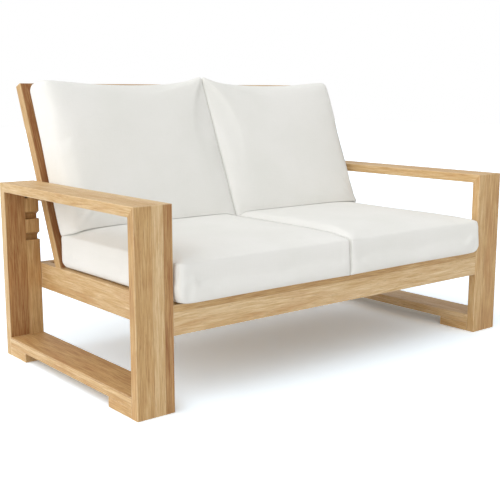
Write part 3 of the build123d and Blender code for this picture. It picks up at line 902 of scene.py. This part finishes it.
@dataclass
class Cushion:
    """A loose cushion on one side, between its neighbour's inner edge and the side frame."""

    side: Side
    kind: str = "cushion"
    inner: float = 0.0005
    outer: float = 0.704
    reach: float = 0.7065
    crease: float = 0.5
    fill: float = 0.8
    stuffing: Stuffing = Stuffing(seam_shrink=0.006)

    @property
    def name(self) -> str:
        """The name of the cushion's CAD node and body."""
        return f"{self.side.name.lower()}_{self.kind}"

    @property
    def middle(self) -> float:
        """How far the cushion's middle is from the seat's."""
        return (self.inner + self.outer) / 2

    def within(self, x: float) -> float:
        """Keep a place across within the cushion's own space.

        Args:
            x: The place.

        Returns:
            The nearest place that is free.
        """
        return math.copysign(min(max(abs(x), self.inner), self.reach), self.side.value)

    def stuff(
        self, mesh_tool: bmesh.types.BMesh, cloth: bpy.types.Material, groups: dict[str, set[int]]
    ) -> Thing:
        """Turn the sewn panels into a stuffed cover.

        Args:
            mesh_tool: The panels, which are freed.
            cloth: The cover's material.
            groups: The points that are held, and the points on the seams.

        Returns:
            The cover, smooth and in the scene.
        """
        crease = mesh_tool.edges.layers.float.new("crease_edge")
        for edge in mesh_tool.edges:
            if all(vertex.index in groups["seams"] for vertex in edge.verts):
                edge[crease] = self.crease
        if self.side is Side.LEFT:
            bmesh.ops.reverse_faces(mesh_tool, faces=mesh_tool.faces)
        mesh = bpy.data.meshes.new(self.name)
        mesh_tool.to_mesh(mesh)
        mesh_tool.free()
        mesh.shade_smooth()
        mesh.materials.append(cloth)
        pad = put(f"{self.name}_cover", mesh)
        for name, points in groups.items():
            pad.vertex_groups.new(name=name).add(sorted(points), 1.0, "REPLACE")
        self.stuffing.fill(pad)
        return pad

    def finish(self, pad: Thing) -> None:
        """Smooth the cover and say what it stands for.

        Args:
            pad: The stuffed cover.
        """
        smooth = pad.modifiers.new("smooth", "SUBSURF")
        smooth.levels = 1
        smooth.render_levels = 1
        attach(pad, self.name)
        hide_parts(self.name)
        LOG.info("%s: %d faces before smoothing", pad.name, len(pad.data.polygons))


@dataclass
class SeatCushion(Cushion):
    """A boxed seat cushion with a crowned top panel and a seam round each edge."""

    kind: str = "seat_cushion"
    crease: float = 0.55
    front: float = -0.5035
    rear: float = 0.22297
    low: float = 0.3234
    wall: float = 0.121
    crown: float = 0.023
    front_flatness: float = 4.0
    rear_flatness: float = 8.0
    edge_root: float = 0.8
    corner: float = 0.020
    small_corner: float = 0.010
    inner_rise: float = 0.90
    rear_lean: float = 0.016
    rear_slope: float = 0.13
    undercut: float = 0.005
    side_pull: float = 0.005
    end_pull: float = 0.006
    foot_pull: float = 0.006
    foot_share: float = 0.16
    top_pull: float = 0.004
    top_share: float = 0.2
    seam_pull: float = 0.0016
    seam_sink: float = 0.0010
    clearance: float = 0.0005
    cells: tuple[int, int, int] = (62, 66, 12)
    crowd: float = 0.0075

    def shape(self, place: Vector) -> Vector:
        """Put a point of the unit box on the cushion.

        Args:
            place: The point, each coordinate from -1 to 1.

        Returns:
            Its place on the cushion.
        """
        width, depth = self.outer - self.inner, self.rear - self.front
        across = crowded(place.x, width, self.cells[0], self.crowd)
        along = crowded(place.y, depth, self.cells[1], self.crowd)
        level = (crowded(place.z, self.wall, self.cells[2], self.crowd) + 1) / 2
        foot_in = self.foot_pull * max(0.0, 1 - level / self.foot_share) ** 2
        top_in = self.top_pull * max(0.0, 1 - (1 - level) / self.top_share) ** 2
        corner = self.corner if across > 0 > along else self.small_corner
        half = (width / 2, depth / 2)
        x, y = round_corner(across * half[0], along * half[1], half, corner)
        if across > 0:
            x -= across * (self.side_pull * (1 - along**2) + 2 * foot_in + top_in)
            sides = soft_limit(across, self.front_flatness, self.edge_root)
        else:
            sides = 1 - (1 - self.inner_rise) * across**6
        y -= along * (self.end_pull * (1 - across**2) + foot_in + top_in)
        y += self.rear_lean * level * max(0.0, along) ** 3
        flatness = self.rear_flatness if along > 0 else self.front_flatness
        rise = self.crown * sides * soft_limit(along, flatness, self.edge_root)
        z = self.low + level * (self.wall + rise)
        z += self.undercut * max(0.0, across) ** 12 * (1 - level) ** 4
        return Vector((self.side.value * (self.middle + x), (self.front + self.rear) / 2 + y, z))

    def build(self, cloth: bpy.types.Material) -> Thing:
        """Cut, sew and stuff the cushion.

        Args:
            cloth: The cover's material.

        Returns:
            The finished cushion.
        """
        mesh_tool = bmesh.new()
        bmesh.ops.create_cube(mesh_tool, size=2.0)
        for axis, count in enumerate(self.cells):
            edges = []
            for edge in mesh_tool.edges:
                if abs(edge.verts[0].co[axis] - edge.verts[1].co[axis]) > 0.5:
                    edges.append(edge)
            bmesh.ops.subdivide_edges(mesh_tool, edges=edges, cuts=count - 1, use_grid_fill=True)
        flat_map = mesh_tool.loops.layers.uv.new("cloth")
        half = Vector((self.outer - self.inner, self.rear - self.front, self.wall)) / 2
        for face in mesh_tool.faces:
            main = max(range(3), key=lambda axis: abs(face.normal[axis]))
            first, second = (axis for axis in range(3) if axis != main)
            for loop in face.loops:
                spot = loop.vert.co
                loop[flat_map].uv = (spot[first] * half[first], spot[second] * half[second])
        mesh_tool.verts.index_update()
        seams, held = set(), set()
        for vertex in mesh_tool.verts:
            spot = vertex.co
            if max(abs(spot.x), abs(spot.y)) > RIM and abs(spot.z) > RIM:
                seams.add(vertex.index)
            if spot.z < -RIM:
                held.add(vertex.index)
            vertex.co = self.shape(spot)
        pad = self.stuff(mesh_tool, cloth, {"held": held, "seams": seams})
        self.settle(pad, seams)
        self.finish(pad)
        return pad

    def settle(self, pad: Thing, seams: set[int]) -> None:
        """Pull the seams in and keep the cushion within its space.

        Args:
            pad: The cushion.
            seams: Indices of the seams' points.
        """
        centre = Vector((self.side.value * self.middle, (self.front + self.rear) / 2, 0.0))
        for vertex in pad.data.vertices:
            if vertex.index in seams and abs(vertex.co.x) > 2 * self.small_corner:
                inward = centre - vertex.co
                inward.z = 0.0
                vertex.co += inward.normalized() * self.seam_pull
                lower = vertex.co.z < self.low + self.wall / 2
                vertex.co.z += self.seam_sink if lower else -self.seam_sink
            vertex.co.z = max(vertex.co.z, self.low)
            vertex.co.x = self.within(vertex.co.x)
            slope = self.rear_slope * (vertex.co.z - self.low)
            vertex.co.y = min(vertex.co.y, self.rear + self.clearance + slope)


@dataclass
class BackCushion(Cushion):
    """A plump back cushion: two crowned panels sewn at a seam, standing on the seat cushion."""

    kind: str = "back_cushion"
    reach: float = 0.7060
    crease: float = 0.35
    fill: float = 0.85
    stuffing: Stuffing = Stuffing(seam_shrink=0.003)
    foot_y: float = 0.22397
    seat_z: float = 0.323
    top: float = 0.672
    foot: float = 0.112
    foot_rise: float = 0.10
    edge_depth: float = 0.154
    crown: float = 0.024
    crown_flatness: Pair = (3.2, 2.8)
    seam_depth: float = 0.053
    seam_forward: float = 0.086
    free_flatness: float = 14.0
    pressed_flatness: float = 40.0
    front_root: float = 0.5
    rear_flatness: Triple = (8.0, 24.0, 10.0)
    rear_root: float = 0.6
    rear_depth: float = 0.001
    outer_corner: float = 0.036
    inner_corner: float = 0.024
    side_pull: float = -0.002
    top_pull: float = 0.017
    foot_pull: float = 0.010
    held_middle: float = 0.8
    held_foot: float = 0.93
    back_clearance: float = 0.0008
    seat_clearance: float = 0.0012
    cells: tuple[int, int] = (72, 66)
    crowd: float = 0.0065

    def shape(self, across: float, along: float, front: bool) -> Vector:
        """Put a point of a flat panel on the cushion.

        Args:
            across: Place from the middle to the sides, -1 to 1.
            along: Place from the foot, -1, to the top, 1.
            front: Whether the point is on the front panel.

        Returns:
            Its place on the cushion.
        """
        half = (self.outer - self.inner) / 2
        across = crowded(across, 2 * half, self.cells[0], self.crowd)
        along = crowded(along, self.top - self.foot, self.cells[1], self.crowd)
        foot_pressed = max(0.0, -along) ** 8 * (1 - max(0.0, across) ** 4)
        seam = self.seam_depth + self.seam_forward * max(max(0.0, -across) ** 3, foot_pressed)
        if front:
            flat, pressed, root = self.free_flatness, self.pressed_flatness, self.front_root
            sides = soft_limit(across, flat if across > 0 else pressed, root)
            ends = soft_limit(along, flat if along > 0 else pressed, root)
            over, up = self.crown_flatness
            dome = self.crown * soft_limit(across, over, 1.0) * soft_limit(along, up, 1.0)
            forward = seam + (self.edge_depth - seam) * lesser(sides, ends) + dome
        else:
            outer, inner, long = self.rear_flatness
            sides = soft_limit(across, outer if across > 0 else inner, self.rear_root)
            ends = soft_limit(along, long, self.rear_root)
            forward = seam + (self.rear_depth - seam) * lesser(sides, ends)
        x = half * across - self.side_pull * max(0.0, across) * (1 - along**2)
        low = self.foot + self.foot_rise * forward - forward * math.sin(SLOPE)
        low /= math.cos(SLOPE)
        up = low + (along + 1) / 2 * (self.top - low)
        if along > 0:
            middle = self.top / 2
            corner = self.outer_corner if across > 0 else self.inner_corner
            x, raised = round_corner(x, up - middle, (half, self.top - middle), corner)
            up = raised + middle
        up -= self.top_pull * (1 - across**2) * max(0.0, along) ** 3
        up += self.foot_pull * (1 - across**2) * max(0.0, -along) ** 3
        y = self.foot_y + up * math.sin(SLOPE) - forward * math.cos(SLOPE)
        z = self.seat_z + up * math.cos(SLOPE) + forward * math.sin(SLOPE)
        return Vector((self.side.value * (self.middle + x), y, z))

    def build(self, cloth: bpy.types.Material, seat: Thing) -> None:
        """Cut, sew and stuff the cushion.

        Args:
            cloth: The cover's material.
            seat: The seat cushion that it stands on.
        """
        mesh_tool = bmesh.new()
        flat_map = mesh_tool.loops.layers.uv.new("cloth")
        for layer in (0.0, 1.0):
            bmesh.ops.create_grid(
                mesh_tool,
                x_segments=self.cells[0],
                y_segments=self.cells[1],
                size=1.0,
                matrix=Matrix.Translation((0.0, 0.0, layer)),
            )
        backs = [face for face in mesh_tool.faces if face.verts[0].co.z < 0.5]
        bmesh.ops.reverse_faces(mesh_tool, faces=backs)
        half_x, half_y = (self.outer - self.inner) / 2, self.top / 2
        for face in mesh_tool.faces:
            for loop in face.loops:
                loop[flat_map].uv = (loop.vert.co.x * half_x, loop.vert.co.y * half_y)
        rim = [spot for spot in mesh_tool.verts if max(abs(spot.co.x), abs(spot.co.y)) > RIM]
        for vertex in rim:
            vertex.co.z = 0.5
        bmesh.ops.remove_doubles(mesh_tool, verts=rim, dist=0.0001)
        mesh_tool.verts.index_update()
        seams, held = set(), set()
        for vertex in mesh_tool.verts:
            x, y, layer = vertex.co
            rear_middle = layer < 0.25 and max(abs(x), abs(y)) < self.held_middle
            if rear_middle or y < -self.held_foot or x < -RIM:
                held.add(vertex.index)
            if abs(layer - 0.5) < 0.01:
                seams.add(vertex.index)
            vertex.co = self.shape(x, y, layer > 0.25)
        pad = self.stuff(mesh_tool, cloth, {"held": held, "seams": seams})
        self.settle(pad, seat)
        self.finish(pad)

    def settle(self, pad: Thing, seat: Thing) -> None:
        """Rest the cushion against the back and on the seat cushion.

        Args:
            pad: The cushion.
            seat: The seat cushion.
        """
        tree = BVHTree.FromObject(seat, bpy.context.evaluated_depsgraph_get())
        out = Vector((0.0, -math.cos(SLOPE), math.sin(SLOPE)))
        down = Vector((0.0, 0.0, -1.0))
        foot = Vector((0.0, self.foot_y, self.seat_z))
        for vertex in pad.data.vertices:
            short = self.back_clearance - (vertex.co - foot).dot(out)
            if short > 0:
                vertex.co += out * short
            vertex.co.x = self.within(vertex.co.x)
            above = Vector((vertex.co.x, vertex.co.y, self.seat_z + self.top))
            hit = tree.ray_cast(above, down)[0]
            if hit is not None:
                vertex.co.z = max(vertex.co.z, hit.z + self.seat_clearance)


@dataclass
class Cushions:
    """The four loose cushions."""

    cloth: ClothFinish = ClothFinish()

    def build(self, effects: SharedEffects) -> None:
        """Make the seat cushions and stand the back cushions on them.

        Args:
            effects: The shared node groups.
        """
        material = self.cloth.make(effects)
        for side in Side:
            seat = SeatCushion(side).build(material)
            BackCushion(side).build(material, seat)


@dataclass
class Studio:
    """A white floor and backdrop, soft light and the camera."""

    eye: Triple = (-2.1053, -2.5552, 0.9280)
    azimuth: float = -39.02
    elevation: float = 10.04
    lens: float = 63.83
    floor_size: float = 40.0
    floor_level: float = -0.0006
    floor_plain: Colour = (0.92, 0.92, 0.92, 1.0)
    floor_seen: Colour = (1.26, 1.40, 1.52, 1.0)
    floor_glow: float = 0.06
    ambient: float = 0.56
    least_light: float = 0.05
    lean: float = 0.28
    lean_to: Triple = (-0.95, -0.20, 0.24)
    sun_from: Triple = (-0.72, -0.10, 0.69)
    sun_share: float = 0.56
    sun_angle: float = 100.0

    def build(self) -> None:
        """Set up the floor, the light and the camera."""
        self.lay_floor()
        self.light_world()
        self.hang_sun()
        self.place_camera()
        bpy.context.scene.view_settings.view_transform = "Standard"
        LOG.info("studio: floor, soft light and the camera")

    def lay_floor(self) -> None:
        """Lay a white floor that keeps the object's shadow."""
        mesh_tool = bmesh.new()
        half, place = self.floor_size / 2, Matrix.Translation((0.0, 0.0, self.floor_level))
        bmesh.ops.create_grid(mesh_tool, x_segments=1, y_segments=1, size=half, matrix=place)
        material, graph = new_material("white_floor")
        plain = graph.add("ShaderNodeBsdfDiffuse", {"Color": self.floor_plain})
        seen = graph.add("ShaderNodeBsdfDiffuse", {"Color": self.floor_seen})
        glow = graph.add("ShaderNodeEmission", {"Color": WHITE, "Strength": self.floor_glow})
        lifted = graph.add("ShaderNodeAddShader", (seen.outputs[0], glow.outputs[0]))
        shaders = (self.in_view(graph), plain.outputs[0], lifted.outputs[0])
        mixed = graph.add("ShaderNodeMixShader", shaders)
        graph.add("ShaderNodeOutputMaterial", {"Surface": mixed.outputs[0]})
        mesh = bpy.data.meshes.new("floor")
        mesh_tool.to_mesh(mesh)
        mesh_tool.free()
        mesh.materials.append(material)
        put("floor", mesh)

    def in_view(self, graph: Graph) -> Socket:
        """Whether a ray comes from the camera, a reflection or through glass.

        Args:
            graph: The tree to add to.

        Returns:
            A socket that is 1 for such rays.
        """
        path = graph.add("ShaderNodeLightPath").outputs
        shown = graph.maths("MAXIMUM", path["Is Camera Ray"], path["Is Glossy Ray"])
        return graph.maths("MAXIMUM", shown, path["Is Transmission Ray"])

    def light_world(self) -> None:
        """Give the world an even light that leans to one side, and a white backdrop."""
        world = bpy.data.worlds.new("studio")
        bpy.context.scene.world = world
        world.use_nodes = True
        graph = Graph(world.node_tree)
        way = graph.add("ShaderNodeTexCoord").outputs["Generated"]
        toward = graph.vectors("DOT_PRODUCT", way, self.lean_to)
        lit = graph.maths("MULTIPLY_ADD", toward, self.lean, self.ambient)
        lit = graph.maths("MAXIMUM", lit, self.least_light)
        shown = self.in_view(graph)
        strength = graph.maths("MULTIPLY_ADD", graph.maths("SUBTRACT", 1.0, lit), shown, lit)
        sky = graph.add("ShaderNodeBackground", {"Color": WHITE, "Strength": strength})
        graph.add("ShaderNodeOutputWorld", {"Surface": sky.outputs[0]})

    def hang_sun(self) -> None:
        """Add a wide, soft light, whose share of 1 would show a colour as it is written."""
        data = bpy.data.lights.new("window", "SUN")
        data.energy = self.sun_share * math.pi
        data.angle = math.radians(self.sun_angle)
        lamp = put("window", data)
        lamp.rotation_euler = (-Vector(self.sun_from)).to_track_quat("-Z", "Y").to_euler()

    def place_camera(self) -> None:
        """Put the camera where the photograph was taken from."""
        data = bpy.data.cameras.new("camera")
        data.sensor_width = 36.0
        data.lens = self.lens
        data.clip_end = 200.0
        camera = put("camera", data)
        camera.location = self.eye
        tilt = math.radians(90.0 - self.elevation)
        camera.rotation_euler = (tilt, 0.0, math.radians(self.azimuth))
        bpy.context.scene.camera = camera


def main() -> None:
    """Build the loveseat's looks and the studio."""
    logging.basicConfig(level=logging.INFO, format="%(name)s: %(message)s")
    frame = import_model()
    effects = SharedEffects()
    Joinery().finish(frame["nodes"], effects)
    Hardware().finish(frame["nodes"])
    Cushions().build(effects)
    Studio().build()
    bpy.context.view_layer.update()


if __name__ == "__main__":
    main()
